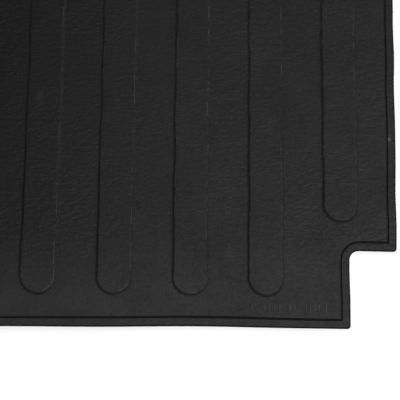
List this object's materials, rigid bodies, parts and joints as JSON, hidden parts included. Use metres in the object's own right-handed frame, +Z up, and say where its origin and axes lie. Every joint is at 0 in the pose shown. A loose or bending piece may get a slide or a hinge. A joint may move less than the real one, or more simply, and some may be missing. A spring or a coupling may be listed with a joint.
{
  "type": "truck bed liner mat",
  "caption": "Flat black moulded rubber mat for a pickup bed: raised lengthwise ribs, perimeter groove, corner notches and wheel-housing cut-outs; folds between ribs.",
  "frame": {"origin": "on the truck floor under the mat, at the middle of its width and length", "axes": "+Y forwards from the tailgate to the cab, +X to the right seen from the tailgate, +Z up"},
  "size_m": [1.65, 1.7, 0.006],
  "materials": {
    "rubber_sheet": "black moulded rubber, matte, fine leather-like grain",
    "rubber_rib": "black moulded rubber, matte, fine grain, faintly polished along the rib edges"
  },
  "bodies": {
    "center_panel": {"sheet_center": "rubber_sheet", "rib_right_1": "rubber_rib", "rib_right_2": "rubber_rib", "rib_left_1": "rubber_rib", "rib_left_2": "rubber_rib"},
    "right_inner_panel": {"sheet_right_inner": "rubber_sheet", "rib_right_3": "rubber_rib", "rib_right_4": "rubber_rib"},
    "right_middle_panel": {"sheet_right_middle": "rubber_sheet", "rib_right_5": "rubber_rib", "rib_right_6": "rubber_rib"},
    "right_outer_panel": {"sheet_right_outer": "rubber_sheet", "rib_right_7_rear": "rubber_rib", "rib_right_7_front": "rubber_rib", "rib_right_8_rear": "rubber_rib", "rib_right_8_front": "rubber_rib", "raised_bars": "rubber_sheet"},
    "left_inner_panel": {"sheet_left_inner": "rubber_sheet", "rib_left_3": "rubber_rib", "rib_left_4": "rubber_rib"},
    "left_middle_panel": {"sheet_left_middle": "rubber_sheet", "rib_left_5": "rubber_rib", "rib_left_6": "rubber_rib"},
    "left_outer_panel": {"sheet_left_outer": "rubber_sheet", "rib_left_7_rear": "rubber_rib", "rib_left_7_front": "rubber_rib", "rib_left_8_rear": "rubber_rib", "rib_left_8_front": "rubber_rib"}
  },
  "joints": [
    {"name": "right_inner_fold", "type": "hinge", "parent": "center_panel", "child": "right_inner_panel", "pos_m": [0.2, 0, 0.006], "axis": [0, -1, 0], "range_deg": [0, 50], "stiffness_Nm_per_rad": 1.5},
    {"name": "right_middle_fold", "type": "hinge", "parent": "right_inner_panel", "child": "right_middle_panel", "pos_m": [0.4, 0, 0.006], "axis": [0, -1, 0], "range_deg": [0, 50], "stiffness_Nm_per_rad": 1.5},
    {"name": "right_outer_fold", "type": "hinge", "parent": "right_middle_panel", "child": "right_outer_panel", "pos_m": [0.6, 0, 0.006], "axis": [0, -1, 0], "range_deg": [0, 50], "stiffness_Nm_per_rad": 1.5},
    {"name": "left_inner_fold", "type": "hinge", "parent": "center_panel", "child": "left_inner_panel", "pos_m": [-0.2, 0, 0.006], "axis": [0, 1, 0], "range_deg": [0, 50], "stiffness_Nm_per_rad": 1.5},
    {"name": "left_middle_fold", "type": "hinge", "parent": "left_inner_panel", "child": "left_middle_panel", "pos_m": [-0.4, 0, 0.006], "axis": [0, 1, 0], "range_deg": [0, 50], "stiffness_Nm_per_rad": 1.5},
    {"name": "left_outer_fold", "type": "hinge", "parent": "left_middle_panel", "child": "left_outer_panel", "pos_m": [-0.6, 0, 0.006], "axis": [0, 1, 0], "range_deg": [0, 50], "stiffness_Nm_per_rad": 1.5}
  ]
}
